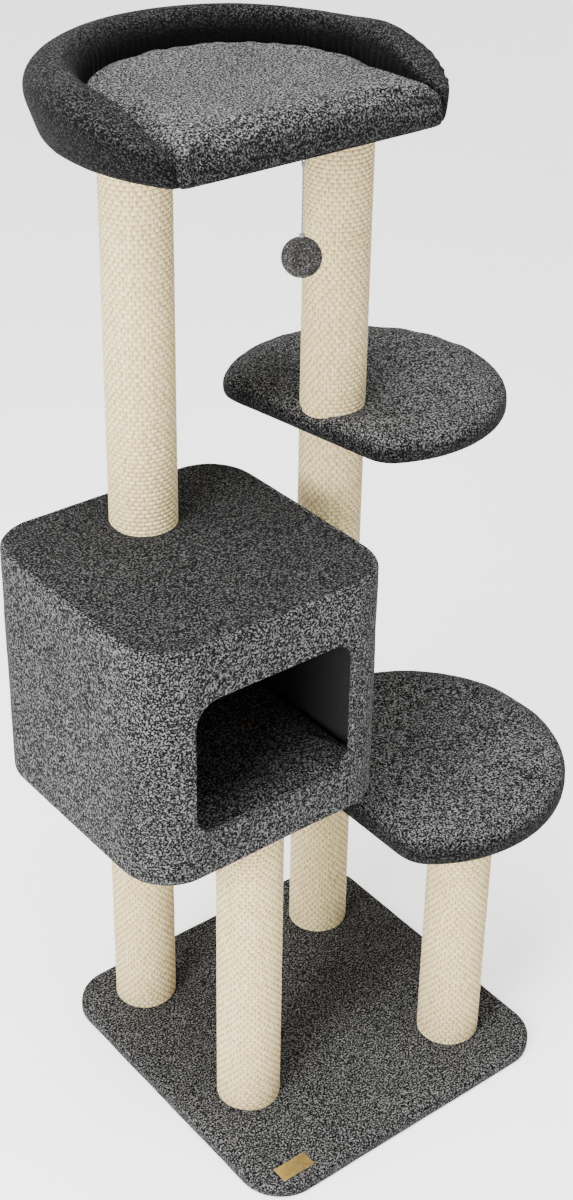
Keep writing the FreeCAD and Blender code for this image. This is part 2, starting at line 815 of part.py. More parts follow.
def make_toy():
    """A pompom on a cord whose loop swings on the staple. The cord turns about the loop's knot,
    and the pompom spins under the tie at the cord's end."""
    label(make_staple("toy_staple"), "toy_staple")

    ring = doc.addObject("Part::Torus", "toy_ring")
    bind(ring, Radius1="loop_radius", Radius2="loop_wire")
    place(ring, "toy_x", "toy_y", "loop_z", Y_AXIS, "90")
    knot = doc.addObject("Part::Sphere", "toy_knot")
    bind(knot, Radius="knot_radius")
    place(knot, "toy_x", "toy_y", "knot_z")
    label(join("toy_loop", ring, knot), "toy_loop")

    label(cylinder("toy_cord", "cord_radius", "cord_length", "toy_x", "toy_y", "cord_end"),
          "toy_cord")
    label(cylinder("toy_tie", "tie_radius", "tie_height", "toy_x", "toy_y",
                   "cord_end - tie_height"), "toy_tie")
    pompom = doc.addObject("Part::Sphere", "pompom")
    bind(pompom, Radius="pompom_radius")
    place(pompom, "toy_x", "toy_y", "pompom_top - pompom_radius")
    label(pompom, "pompom")


# ---------------------------------------------------------------- the whole tree


def build():
    fill_sizes()
    make_base()
    for post in POSTS:
        make_post(post)
    make_inserts()
    make_fasteners()
    make_studs()
    make_cabin()
    make_shelves()
    make_perch()
    make_bolster()
    make_toy()
    doc.recompute()


NODES = (
    ["base_board", "base_cover", "base_underlay", "label_plate"]
    + [post + part for post in POSTS for part in ("_tube", "_rope", "_plugs")]
    + ["threaded_inserts", "base_bolts", "base_washers", "cabin_floor_bolts"]
    + ["cabin_floor_washers", "cabin_roof_bolt", "cabin_roof_washer", "through_studs"]
    + ["platform_studs", "flanged_nuts"]
    + ["cabin_wall_cover", "cabin_wall", "cabin_lining", "cabin_roof_cover"]
    + ["cabin_roof_board", "cabin_floor_cover", "cabin_floor_board", "cabin_mat"]
    + [shelf + part for shelf in ("low_shelf", "middle_shelf")
       for part in ("_board", "_padding", "_cover")]
    + ["perch_board", "perch_cover", "mattress", "bolster"]
    + ["toy_staple", "toy_loop", "toy_cord", "toy_tie", "pompom"]
)


def check_and_export():
    for item in doc.Objects:
        if "Invalid" in item.State or "Error" in item.State:
            raise RuntimeError(f"{item.Name} failed: {item.State}")
    os.makedirs("parts", exist_ok=True)
    for node in NODES:
        found = doc.getObjectsByLabel(node)
        if len(found) != 1:
            raise RuntimeError(f"{node}: {len(found)} objects carry this label")
        shape = found[0].Shape
        if shape.isNull() or not shape.isValid() or not shape.Solids:
            raise RuntimeError(f"{node}: its shape is not a valid solid")
        shape.exportStep(f"parts/{node}.step")
    print(f"{len(NODES)} parts written; the toy's cord is one straight run of",
          f"{SIZES['cord_length']} mm")


build()
check_and_export()
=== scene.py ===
import math
import random

import bpy
import numpy as np
from mathutils import Matrix, Vector, noise


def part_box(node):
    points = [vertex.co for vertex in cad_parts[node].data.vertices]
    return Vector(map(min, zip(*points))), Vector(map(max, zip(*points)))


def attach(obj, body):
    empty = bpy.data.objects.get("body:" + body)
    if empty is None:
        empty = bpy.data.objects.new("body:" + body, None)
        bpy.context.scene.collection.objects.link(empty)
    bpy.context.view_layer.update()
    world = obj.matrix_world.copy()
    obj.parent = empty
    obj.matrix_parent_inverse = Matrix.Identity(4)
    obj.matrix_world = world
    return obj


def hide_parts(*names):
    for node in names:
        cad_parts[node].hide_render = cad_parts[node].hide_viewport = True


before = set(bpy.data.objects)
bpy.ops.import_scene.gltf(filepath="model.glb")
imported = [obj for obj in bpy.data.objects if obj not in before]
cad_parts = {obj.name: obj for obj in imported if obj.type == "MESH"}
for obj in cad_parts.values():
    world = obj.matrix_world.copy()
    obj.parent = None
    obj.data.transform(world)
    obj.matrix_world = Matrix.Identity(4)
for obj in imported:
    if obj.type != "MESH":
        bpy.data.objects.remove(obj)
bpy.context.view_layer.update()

# ---------------------------------------------------------------- camera

CAMERA_PLACE = Vector((-1.2896, -1.5638, 1.9721))
CAMERA_TURN = math.radians(-38.95)
CAMERA_TILT = math.radians(90 - 30.44)
CAMERA_ROLL = math.radians(1.19)
CAMERA_LENS = 58.5
CAMERA_SHIFT = (-0.0101, -0.0471)


def make_camera():
    bpy.ops.object.camera_add(location=CAMERA_PLACE)
    camera = bpy.context.object
    turn = Matrix.Rotation(CAMERA_TURN, 3, "Z") @ Matrix.Rotation(CAMERA_TILT, 3, "X")
    camera.rotation_euler = (turn @ Matrix.Rotation(CAMERA_ROLL, 3, "Z")).to_euler()
    camera.data.sensor_width = 36
    camera.data.lens = CAMERA_LENS
    camera.data.shift_x, camera.data.shift_y = CAMERA_SHIFT
    bpy.context.scene.camera = camera


# ---------------------------------------------------------------- shaping

MM = 0.001
AXES = {"x": 0, "y": 1, "z": 2}


def deselect():
    bpy.ops.object.select_all(action="DESELECT")


def take(piece):
    """Makes the piece the only one selected, and the active one."""
    if bpy.context.object and bpy.context.object.mode != "OBJECT":
        bpy.ops.object.mode_set(mode="OBJECT")
    deselect()
    piece.select_set(True)
    bpy.context.view_layer.objects.active = piece


def named(name, scale=(1, 1, 1)):
    """The object just added, under its new name, stretched, and with its place in its mesh."""
    piece = bpy.context.object
    piece.scale = scale
    piece.name = name
    piece.data.name = name
    bpy.ops.object.transform_apply(location=True, rotation=True, scale=True)
    return piece


def edit_all(piece):
    take(piece)
    bpy.ops.object.mode_set(mode="EDIT")
    bpy.ops.mesh.select_mode(type="VERT")
    bpy.ops.mesh.select_all(action="SELECT")


def leave_edit():
    bpy.ops.object.mode_set(mode="OBJECT")


def edit_where(piece, kind, test):
    """Edit mode with only those vertices, edges or faces selected that pass the test."""
    take(piece)
    bpy.ops.object.mode_set(mode="EDIT")
    bpy.ops.mesh.select_mode(type=kind)
    bpy.ops.mesh.select_all(action="DESELECT")
    bpy.ops.object.mode_set(mode="OBJECT")
    points = piece.data.vertices
    if kind == "VERT":
        for point in points:
            point.select = test(point.co)
    if kind == "EDGE":
        for edge in piece.data.edges:
            edge.select = test(*[points[i].co for i in edge.vertices])
    if kind == "FACE":
        for face in piece.data.polygons:
            face.select = test(face)
    bpy.ops.object.mode_set(mode="EDIT")


def modify(piece, kind, **settings):
    """Adds a modifier with these settings and applies it."""
    take(piece)
    modifier = piece.modifiers.new(kind.title(), kind)
    for name, value in settings.items():
        setattr(modifier, name, value)
    bpy.ops.object.modifier_apply(modifier=modifier.name)


def smooth_look(piece, degrees=40):
    take(piece)
    bpy.ops.object.shade_smooth_by_angle(angle=math.radians(degrees))


def start_box(name, low, high):
    deselect()
    low, high = Vector(low), Vector(high)
    bpy.ops.mesh.primitive_cube_add(size=1, location=(low + high) / 2)
    return named(name, high - low)


def round_along(piece, axis, radius, segments):
    """Rounds the edges that run along the axis."""
    others = [i for i in range(3) if i != AXES[axis]]

    def runs_along(a, b):
        return all(abs(a[i] - b[i]) < 1e-6 for i in others)

    edit_where(piece, "EDGE", runs_along)
    bpy.ops.mesh.bevel(offset=radius, segments=segments, affect="EDGES")
    leave_edit()


def round_rim(piece, level, radius, segments, axis="z"):
    """Rounds the edges that lie at this level of the axis."""
    i = AXES[axis]
    edit_where(
        piece, "EDGE", lambda a, b: abs(a[i] - level) < 1e-5 and abs(b[i] - level) < 1e-5
    )
    bpy.ops.mesh.bevel(offset=radius, segments=segments, affect="EDGES")
    leave_edit()


def rounded_slab(name, low, high, corner, top=0.0, bottom=0.0, segments=14):
    """A slab with round corners in plan and, where asked, a round rim above and below."""
    piece = start_box(name, low, high)
    round_along(piece, "z", corner, segments)
    if top:
        round_rim(piece, high[2], top, 4)
    if bottom:
        round_rim(piece, low[2], bottom, 3)
    return piece


def slice_up(piece, axes, step):
    """Cuts the piece across each axis at every step, so that it can bend there."""
    for axis in axes:
        i = AXES[axis]
        places = [point.co[i] for point in piece.data.vertices]
        low, high = min(places), max(places)
        normal = Vector((0, 0, 0))
        normal[i] = 1
        edit_all(piece)
        cuts = round((high - low) / step)
        for number in range(1, cuts):
            bpy.ops.mesh.select_all(action="SELECT")
            plane = normal * (low + (high - low) * number / cuts)
            bpy.ops.mesh.bisect(plane_co=plane, plane_no=normal)
        leave_edit()


def roughen(piece, size, height):
    """Low swells and hollows of about this size and height all over the piece."""
    clouds = bpy.data.textures.new(piece.name + "_swell", "CLOUDS")
    clouds.noise_scale = size
    modify(piece, "DISPLACE", texture=clouds, strength=height, texture_coords="LOCAL")


def cut_with(piece, tool):
    modify(piece, "BOOLEAN", operation="DIFFERENCE", solver="EXACT", object=tool)
    bpy.data.objects.remove(tool)


def join(piece, *others):
    """Makes the others part of the piece."""
    take(piece)
    for other in others:
        other.select_set(True)
    bpy.ops.object.join()
    return piece


def cord_along(name, kind, route, radius, resolution):
    """A round cord along the route, as a curve of one spline."""
    curve = bpy.data.curves.new(name, "CURVE")
    curve.dimensions = "3D"
    curve.bevel_depth = radius
    curve.bevel_resolution = resolution
    curve.use_fill_caps = True
    spline = curve.splines.new(kind)
    spline.points.add(len(route) - 1)
    for point, where in zip(spline.points, route):
        point.co = (*where, 1)
    piece = bpy.data.objects.new(name, curve)
    bpy.context.scene.collection.objects.link(piece)
    return piece, spline


def node_copy(node, name):
    """A mesh copy of a CAD node, with its doubled points merged."""
    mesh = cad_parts[node].data.copy()
    mesh.materials.clear()
    piece = bpy.data.objects.new(name, mesh)
    bpy.context.scene.collection.objects.link(piece)
    edit_all(piece)
    bpy.ops.mesh.remove_doubles(threshold=1e-6)
    leave_edit()
    return piece


def hull(piece):
    """The piece's outer shape without its hollow. Merging close points first keeps it quick."""
    edit_all(piece)
    bpy.ops.mesh.remove_doubles(threshold=1.8 * MM)
    bpy.ops.mesh.convex_hull()
    leave_edit()


def middle_of(node):
    low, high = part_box(node)
    return (low + high) / 2


def shrink(piece, amount):
    """Draws the piece in by this amount on every side."""
    points = piece.data.vertices
    low = Vector([min(p.co[i] for p in points) for i in range(3)])
    high = Vector([max(p.co[i] for p in points) for i in range(3)])
    middle = (low + high) / 2
    factors = Vector([1 - 2 * amount / (high[i] - low[i]) for i in range(3)])
    for point in points:
        point.co = middle + (point.co - middle) * factors


def puff(piece, reach, held, pressure=4.0):
    """Blows the closed skin up as its filling does. Points that are held stay, and none of
    the others moves further than the reach."""
    take(piece)
    group = piece.vertex_groups.new(name="held")
    group.add([p.index for p in piece.data.vertices if held(p.co)], 1.0, "REPLACE")
    start = [p.co.copy() for p in piece.data.vertices]
    cloth = piece.modifiers.new("Cloth", "CLOTH")
    cloth.settings.quality = 5
    cloth.settings.use_pressure = True
    cloth.settings.uniform_pressure_force = pressure
    cloth.settings.effector_weights.gravity = 0
    cloth.settings.vertex_group_mass = "held"
    for number in range(1, 21):
        bpy.context.scene.frame_set(number)
    bpy.ops.object.modifier_apply(modifier="Cloth")
    bpy.context.scene.frame_set(1)
    for point, old in zip(piece.data.vertices, start):
        move = point.co - old
        if move.length > 0:
            point.co = old + move * (math.tanh(move.length / reach) * reach / move.length)


def lift_above(piece, level):
    """Brings points that hang lower than this level up to it."""
    for point in piece.data.vertices:
        point.co.z = max(point.co.z, level)


def press_in(piece, centre, radius, width, depth):
    """A shallow dip in the piece's top, round a post that stands in it."""
    rises = [point.normal.z for point in piece.data.vertices]
    for point, rise in zip(piece.data.vertices, rises):
        away = math.hypot(point.co.x - centre.x, point.co.y - centre.y) - radius
        if rise > 0.3 and away < 3 * width:
            point.co.z -= depth * math.exp(-((max(away, 0) / width) ** 2))


# ---------------------------------------------------------------- materials

# How far apart a wave texture's bands are at scale 1, straight and on the slant.
STRAIGHT_BAND = 0.314
SLANTED_BAND = 0.6283
ROPE_STRANDS = 3


def new_material(name, roughness, fixed=None):
    material = bpy.data.materials.new(name)
    material.use_nodes = True
    sockets = material.node_tree.nodes["Principled BSDF"].inputs
    sockets["Roughness"].default_value = roughness
    for socket, value in (fixed or {}).items():
        sockets[socket].default_value = value
    return material


def feed(material, socket, value):
    """Gives the socket a plain value, or links it to an output of another node."""
    if isinstance(value, bpy.types.NodeSocket):
        material.node_tree.links.new(value, socket)
    else:
        socket.default_value = value


def add_node(material, kind, settings=None, **inputs):
    node = material.node_tree.nodes.new("ShaderNode" + kind)
    for name, value in (settings or {}).items():
        setattr(node, name, value)
    for name, value in inputs.items():
        feed(material, node.inputs[name], value)
    return node


def arithmetic(material, operation, *values):
    node = add_node(material, "Math", {"operation": operation})
    for socket, value in zip(node.inputs, values):
        feed(material, socket, value)
    return node.outputs[0]


def place_of(material, scale=(1, 1, 1), turn=(0, 0, 0), source="Object"):
    coords = add_node(material, "TexCoord").outputs[source]
    mapping = add_node(material, "Mapping", Vector=coords, Scale=scale, Rotation=turn)
    return mapping.outputs["Vector"]


def speckle(material, place, scale, detail=2.0, roughness=0.5):
    found = add_node(
        material, "TexNoise", Vector=place, Scale=scale, Detail=detail, Roughness=roughness
    )
    return found.outputs["Fac"]


def shades(material, factor, *stops):
    """A colour for each place on the factor's scale: stops are (place, colour)."""
    ramp = add_node(material, "ValToRGB", Fac=factor)
    stretch = ramp.color_ramp.elements
    while len(stretch) < len(stops):
        stretch.new(0.5)
    for element, (where, colour) in zip(stretch, stops):
        element.position = where
        element.color = (*colour, 1)
    return ramp.outputs["Color"]


def blend_colours(material, factor, first, second, kind="MIX"):
    mix = add_node(material, "Mix", {"data_type": "RGBA", "blend_type": kind})
    # A colour mix has its factor at socket 0 and its two colours at 6 and 7.
    for number, value in ((0, factor), (6, first), (7, second)):
        feed(material, mix.inputs[number], value)
    return mix.outputs[2]


def add_up(material, first, second, weight):
    """The first height and this much of the second."""
    return arithmetic(material, "MULTIPLY_ADD", second, weight, first)


def surface(material, colour, height=None, strength=0.5, depth=MM, roughness=None):
    links = material.node_tree.links
    shader = material.node_tree.nodes["Principled BSDF"]
    links.new(colour, shader.inputs["Base Color"])
    if height:
        bump = add_node(material, "Bump", Height=height, Strength=strength, Distance=depth)
        links.new(bump.outputs["Normal"], shader.inputs["Normal"])
    if roughness:
        links.new(roughness, shader.inputs["Roughness"])
    return material


def grey(value, warmth=0.0):
    return (value * (1 + warmth), value, value * (1 - warmth))


def plush(name, dark, light, nap=0.7 * MM, with_painted_light=False):
    """Heather cloth with a short nap: dark and light fibres in tufts of 2 to 3 mm. Where asked,
    its colour is multiplied by a point attribute of painted light and shade."""
    material = new_material(name, 0.95, {"Sheen Weight": 0.02, "Sheen Roughness": 0.6,
                                         "Specular IOR Level": 0.05})
    place = place_of(material)
    tufts = speckle(material, place, 430, 2, 0.7)
    fibres = speckle(material, place, 1300, 2, 0.6)
    patches = speckle(material, place, 9, 3, 0.5)
    middle = grey(0.12 * light[1])
    heather = shades(material, tufts, (0.44, dark), (0.52, middle), (0.61, light))
    fine = shades(material, fibres, (0.35, grey(0.55)), (0.65, grey(1.0)))
    worn = shades(material, patches, (0.3, grey(0.8)), (0.7, grey(1.0)))
    colour = blend_colours(material, 1.0, heather, fine, "MULTIPLY")
    colour = blend_colours(material, 1.0, colour, worn, "MULTIPLY")
    # Painted light and shade: the colour is multiplied by a point attribute set by which way each
    # point faces.
    if with_painted_light:
        painted_light = add_node(material, "Attribute", {"attribute_name": "painted_light"}).outputs["Color"]
        colour = blend_colours(material, 1.0, colour, painted_light, "MULTIPLY")
    height = add_up(material, tufts, fibres, 0.5)
    return surface(material, colour, height, 0.35, nap)


def sisal():
    """Three-strand rope: strands that cross the rope at a slant, fibres along them, painted shade
    in the grooves between strands and between one turn and the next. Its UV map is the one that coil()
    lays."""
    material = new_material("Sisal rope", 0.85, {"Sheen Weight": 0.05, "Specular IOR Level": 0.2})
    twist = (ROPE_TWISTS * SLANTED_BAND, ROPE_STRANDS * SLANTED_BAND, 1)
    slant = place_of(material, twist, source="UV")
    strands = add_node(
        material, "TexWave", {"wave_type": "BANDS", "bands_direction": "DIAGONAL"},
        Vector=slant, Scale=1.0, Distortion=3.6, Detail=3.0,
    ).outputs["Fac"]
    chart = add_node(material, "TexCoord").outputs["UV"]
    round_it = add_node(material, "SeparateXYZ", Vector=chart).outputs["Y"]
    outward = arithmetic(material, "ABSOLUTE", arithmetic(material, "SUBTRACT", round_it, 0.5))
    # Painted shade where one turn of the rope meets the next and on the side against the tube; only
    # the outer face stays light.
    rows = shades(material, outward, (0.31, (0.10, 0.06, 0.025)),
                  (0.37, (0.60, 0.50, 0.34)), (0.44, (1.0, 1.0, 1.0)))
    along = place_of(material, (60, 14, 1), (0, 0, 0.35), "UV")
    fibres = speckle(material, along, 5, 4, 0.7)
    lengths = speckle(material, place_of(material, (3, 0.2, 1), source="UV"), 2, 3, 0.6)
    straw = shades(material, fibres, (0.34, (0.42, 0.30, 0.12)), (0.5, (0.86, 0.73, 0.42)),
                   (0.66, (1.0, 0.93, 0.60)))
    # Painted shade in the grooves between the strands.
    strand_groove_shade = shades(material, strands, (0.0, (0.42, 0.31, 0.17)), (0.45, (1.0, 1.0, 1.0)))
    bleach = shades(material, lengths, (0.35, (0.90, 0.87, 0.80)), (0.65, (1.0, 1.0, 1.0)))
    colour = blend_colours(material, 0.7, straw, strand_groove_shade, "MULTIPLY")
    colour = blend_colours(material, 1.0, colour, rows, "MULTIPLY")
    colour = blend_colours(material, 1.0, colour, bleach, "MULTIPLY")
    height = add_up(material, strands, fibres, 0.7)
    return surface(material, colour, height, 0.8, 0.9 * MM)


def board_material(name, light, dark, scale):
    """Pressed fibres: fine flecks of two browns."""
    material = new_material(name, 0.8)
    place = place_of(material)
    flecks = speckle(material, place, scale, 5, 0.7)
    clouds = speckle(material, place, 30, 2, 0.5)
    colour = shades(material, flecks, (0.35, dark), (0.65, light))
    colour = blend_colours(material, clouds, colour, (*dark, 1), "MIX")
    return surface(material, colour, flecks, 0.2, 0.2 * MM)


def wood(name, light, dark, stretch):
    """Grain that runs along the stretched axis."""
    material = new_material(name, 0.55, {"Coat Weight": 0.05})
    place = place_of(material, stretch)
    rings = add_node(
        material, "TexWave", {"wave_type": "BANDS", "bands_direction": "X"},
        Vector=place, Scale=40.0, Distortion=7.0, Detail=4.0,
    ).outputs["Fac"]
    pores = speckle(material, place, 700, 3, 0.6)
    colour = shades(material, rings, (0.1, dark), (0.8, light))
    fine = shades(material, pores, (0.3, (0.8, 0.78, 0.75)), (0.6, (1, 1, 1)))
    colour = blend_colours(material, 0.6, colour, fine, "MULTIPLY")
    return surface(material, colour, add_up(material, rings, pores, 0.5), 0.15, 0.2 * MM)


def metal(name, light, dark, stretch, roughness):
    """Brushed along the axis that is stretched least, with small stains."""
    material = new_material(name, roughness, {"Metallic": 1.0})
    brushed = speckle(material, place_of(material, stretch), 60, 4, 0.7)
    stains = speckle(material, place_of(material), 160, 3, 0.6)
    colour = shades(material, stains, (0.3, dark), (0.6, light))
    rough = add_node(material, "MapRange", Value=brushed)
    rough.inputs["To Min"].default_value = roughness - 0.1
    rough.inputs["To Max"].default_value = roughness + 0.15
    return surface(material, colour, brushed, 0.25, 0.05 * MM, rough.outputs["Result"])


def cloth(name, dark, light, thread, roughness=0.9):
    """Plain weave: two crossed rows of threads with soft flecks."""
    material = new_material(name, roughness, {"Sheen Weight": 0.1, "Specular IOR Level": 0.2})
    rows = []
    for direction in ("X", "Z"):
        rows.append(add_node(
            material, "TexWave", {"wave_type": "BANDS", "bands_direction": direction},
            Vector=place_of(material), Scale=STRAIGHT_BAND / thread, Distortion=0.4,
        ).outputs["Fac"])
    flecks = speckle(material, place_of(material), 500, 3, 0.6)
    colour = shades(material, flecks, (0.3, dark), (0.7, light))
    height = add_up(material, rows[0], rows[1], 1.0)
    return surface(material, colour, height, 0.4, 0.3 * MM)


def foam():
    material = new_material("Foam", 0.9)
    cells = add_node(material, "TexVoronoi", Vector=place_of(material), Scale=700.0)
    colour = shades(material, cells.outputs["Distance"], (0.1, (0.75, 0.71, 0.58)),
                    (0.7, (0.9, 0.87, 0.76)))
    return surface(material, colour, cells.outputs["Distance"], 0.5, 0.5 * MM)


def floor_material():
    material = new_material("Studio floor", 0.9, {
        "Specular IOR Level": 0.1, "Emission Color": (1, 1, 1, 1), "Emission Strength": 1.6})
    tint = speckle(material, place_of(material), 3, 2, 0.5)
    return surface(material, shades(material, tint, (0.3, grey(0.90)), (0.7, grey(0.92))))


def make_materials():
    return {
        "charcoal_plush": plush("Charcoal plush", grey(0.002), grey(0.235)),
        # The same charcoal plush with light and shade painted in from a point attribute.
        "plush_painted_light": plush("Charcoal plush, painted light", grey(0.002), grey(0.235), with_painted_light=True),
        "dark_lining": cloth("Dark lining", grey(0.012), grey(0.035), 1.1 * MM),
        "sisal_rope": sisal(),
        "mdf": board_material("Fibreboard", (0.50, 0.35, 0.20), (0.34, 0.22, 0.12), 420),
        "plywood": wood("Plywood", (0.72, 0.53, 0.33), (0.55, 0.37, 0.20), (1, 1, 6)),
        "card_tube": board_material("Card", (0.45, 0.34, 0.22), (0.33, 0.24, 0.15), 260),
        "beech": wood("Beech", (0.70, 0.48, 0.29), (0.55, 0.35, 0.19), (4, 1, 1)),
        "zinc_steel": metal("Zinc steel", (0.70, 0.71, 0.73), (0.48, 0.49, 0.51), (1, 1, 8), 0.35),
        "brass_plate": metal("Brushed brass", (0.80, 0.60, 0.25), (0.62, 0.44, 0.15), (2, 18, 2), 0.3),
        "foam": foam(),
        "grey_plush": plush("Grey plush", grey(0.07, 0.05), grey(0.42, 0.05), 0.4 * MM),
        "grey_cord": cloth("Grey cord", grey(0.10, 0.03), grey(0.30, 0.03), 0.6 * MM),
        "nonwoven_backing": cloth("Non-woven", grey(0.012), grey(0.05), 2.2 * MM),
    }


def paint_light_by_facing(piece, top, inner=None, outer=0.5, middle=None):
    """Paints light and shade into a point attribute by which way each point faces: the top value where
    it faces up, the inner value on sides that face the middle and the outer value on other sides.
    """
    layer = piece.data.color_attributes.new("painted_light", "FLOAT_COLOR", "POINT")
    for point, tone in zip(piece.data.vertices, layer.data):
        normal = point.normal
        side = outer
        if middle is not None:
            out = Vector((point.co.x - middle.x, point.co.y - middle.y)).normalized()
            inward = 0.5 - 0.5 * (normal.x * out.x + normal.y * out.y)
            side = outer + (inner - outer) * inward
        up = max(0.0, normal.z) ** 2
        value = side + (top - side) * up
        tone.color = (value, value, value, 1)


def finish_piece(piece, slot, body="frame", replaced=(), material=None):
    """Gives the piece its material and its body, and hides the CAD nodes that it stands for."""
    piece.data.materials.clear()
    piece.data.materials.append(MATERIALS[material or slot])
    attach(piece, body)
    if replaced:
        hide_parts(*replaced)
    return piece


# The finish of the CAD nodes that stay in sight or inside, by what their names end with.
NODE_FINISHES = {
    "_board": "mdf",
    "cabin_wall": "plywood",
    "_tube": "card_tube",
    "_plugs": "beech",
    "_padding": "foam",
    "_inserts": "zinc_steel",
    "_bolts": "zinc_steel",
    "_bolt": "zinc_steel",
    "_washers": "zinc_steel",
    "_washer": "zinc_steel",
    "_studs": "zinc_steel",
    "_nuts": "zinc_steel",
    "_staple": "zinc_steel",
}


def dress_cad_nodes():
    for name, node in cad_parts.items():
        for ending, finish in NODE_FINISHES.items():
            if name.endswith(ending):
                node.data.materials.clear()
                node.data.materials.append(MATERIALS[finish])


# ---------------------------------------------------------------- hanging toy


def make_toy():
    low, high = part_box("toy_cord")
    x, y = (low.x + high.x) / 2, (low.y + high.y) / 2
    radius = (high.x - low.x) / 2
    route = [(x, y, high.z), (x, y, high.z - 12 * MM), (x, y, low.z)]
    string, line = cord_along("toy_string", "NURBS", route, radius, 3)
    line.order_u = 3
    line.use_endpoint_u = True

    tie_low, tie_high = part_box("toy_tie")
    tie = coil("string_tie", 2.1 * MM, 1.1 * MM, 1.1 * MM, 1.3 * MM, 3, 20, 8)
    settle(tie, Vector((x, y, tie_low.z + 0.2 * MM)))
    crop(tie, tie_low.z, tie_high.z)
    finish_piece(string, "grey_cord", "toy_cord", ["toy_cord"])
    finish_piece(tie, "grey_cord", "toy_cord", ["toy_tie"])

    loop_low, loop_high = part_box("toy_loop")
    knot_height = 5.2 * MM
    ring_middle = (loop_high.z + loop_low.z + knot_height * 0.6) / 2
    ring_radius = (loop_high.z - loop_low.z - knot_height * 0.6) / 2 - 0.9 * MM
    deselect()
    bpy.ops.mesh.primitive_torus_add(
        major_radius=ring_radius, minor_radius=0.9 * MM, major_segments=32, minor_segments=10,
        location=(x, y, ring_middle), rotation=(0, math.pi / 2, 0),
    )
    ring = named("toy_eye")
    knot = coil("knot", 1.25 * MM, 1.2 * MM, 1.1 * MM, 1.6 * MM, 3, 20, 8)
    settle(knot, Vector((x, y, loop_low.z - 0.2 * MM)))
    crop(knot, loop_low.z, loop_low.z + knot_height)
    join(ring, knot)
    smooth_look(ring)
    finish_piece(ring, "grey_cord", "toy_loop", ["toy_loop"])

    make_pompom()


def make_pompom():
    """A ball of short yarn ends: every face of a fine ball is drawn out to a tip."""
    low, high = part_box("pompom")
    middle = (low + high) / 2
    radius = (high.z - low.z) / 2
    length = 3.2 * MM
    deselect()
    bpy.ops.mesh.primitive_ico_sphere_add(
        subdivisions=6, radius=radius - length * 0.8, location=middle
    )
    ball = named("pompom_yarn")
    roughen(ball, 9 * MM, 2.2 * MM)
    edit_all(ball)
    bpy.ops.mesh.select_mode(type="FACE")
    bpy.ops.mesh.select_all(action="SELECT")
    roots = len(ball.data.vertices)
    bpy.ops.mesh.poke(offset=length)
    leave_edit()
    draw = random.Random(5)
    for point in ball.data.vertices[roots:]:
        out = (point.co - middle).normalized()
        slack = draw.uniform(-0.5, 0.25) * length
        lean = Vector([draw.gauss(0, 0.35) for _ in range(3)]) * length
        point.co += out * slack + lean
    for point in ball.data.vertices:
        away = point.co - middle
        if away.length > radius:
            point.co = middle + away * radius / away.length
    finish_piece(ball, "grey_plush", "pompom", ["pompom"])


# ---------------------------------------------------------------- rope-wound posts

ROPE_RISE = 5.6 * MM
ROPE_SIDES = 8
ROPE_STEPS = 40
ROPE_TWISTS = 28.5
TUBE_RADIUS = 37.5 * MM


def coil(name, radius, across, half_height, rise, turns, steps, sides):
    """A closed section swept round the Z axis and up it, starting at the origin's level.
    Its UV map runs along the strand in turns, and round it from 0 to 1."""
    deselect()
    bpy.ops.mesh.primitive_circle_add(
        vertices=sides, radius=1, location=(radius, 0, 0), rotation=(math.pi / 2, 0, 0)
    )
    piece = named(name, (across, half_height, 1))
    modify(piece, "SCREW", axis="Z", angle=math.tau, screw_offset=rise, iterations=turns,
           steps=steps, render_steps=steps, use_smooth_shade=True)
    mesh = piece.data
    corners = np.zeros(len(mesh.loops), int)
    mesh.loops.foreach_get("vertex_index", corners)
    corners = corners.reshape(-1, 4)
    round_it = corners % sides
    wraps = (round_it.max(1) - round_it.min(1) > sides / 2)[:, None] & (round_it == 0)
    round_it = np.where(wraps, sides, round_it)
    chart = np.stack([(corners // sides) / steps, round_it / sides], axis=2)
    layer = mesh.uv_layers.new(name="UVMap")
    layer.data.foreach_set("uv", chart.astype(np.float32).ravel())
    edit_all(piece)
    bpy.ops.mesh.normals_make_consistent(inside=False)
    leave_edit()
    return piece


def settle(piece, place, turn=0.0):
    """Turns the piece about its own Z axis and moves it to the place, all in its mesh."""
    take(piece)
    piece.location = place
    piece.rotation_euler = (0, 0, turn)
    bpy.ops.object.transform_apply(location=True, rotation=True, scale=True)


def crop(piece, low, high):
    """Cuts the piece off level below and above, and closes the cuts."""
    for level, clear in ((low, "clear_inner"), (high, "clear_outer")):
        edit_all(piece)
        bpy.ops.mesh.bisect(
            plane_co=(0, 0, level), plane_no=(0, 0, 1), use_fill=True, **{clear: True}
        )
        leave_edit()


def make_ropes():
    ropes = sorted(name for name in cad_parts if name.endswith("_rope"))
    tallest = max(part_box(name)[1].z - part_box(name)[0].z for name in ropes)
    turns = math.ceil(tallest / ROPE_RISE) + 3
    low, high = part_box(ropes[0])
    outside = (high.x - low.x) / 2
    half_across = (outside - TUBE_RADIUS) / 2 + 0.1 * MM
    pattern = coil("winding", outside - half_across + 0.15 * MM, half_across,
                   ROPE_RISE / 2 + 0.15 * MM, ROPE_RISE, turns, ROPE_STEPS, ROPE_SIDES)
    draw = random.Random(3)
    for name in ropes:
        low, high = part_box(name)
        rope = bpy.data.objects.new(name.replace("_rope", "_winding"), pattern.data.copy())
        bpy.context.scene.collection.objects.link(rope)
        middle = (low + high) / 2
        start = Vector((middle.x, middle.y, low.z - 2 * ROPE_RISE))
        settle(rope, start, draw.uniform(0, math.tau))
        roughen(rope, 14 * MM, 0.7 * MM)
        crop(rope, low.z - MM, high.z + MM)
        smooth_look(rope, 50)
        finish_piece(rope, "sisal_rope", replaced=[name])
    bpy.data.objects.remove(pattern)


# ---------------------------------------------------------------- base

BASE_CORNER = 60 * MM
HEM = 30 * MM
FABRIC = 2 * MM
POST_RADIUS = 42 * MM


def faces_down(face):
    return face.normal.z < -0.99


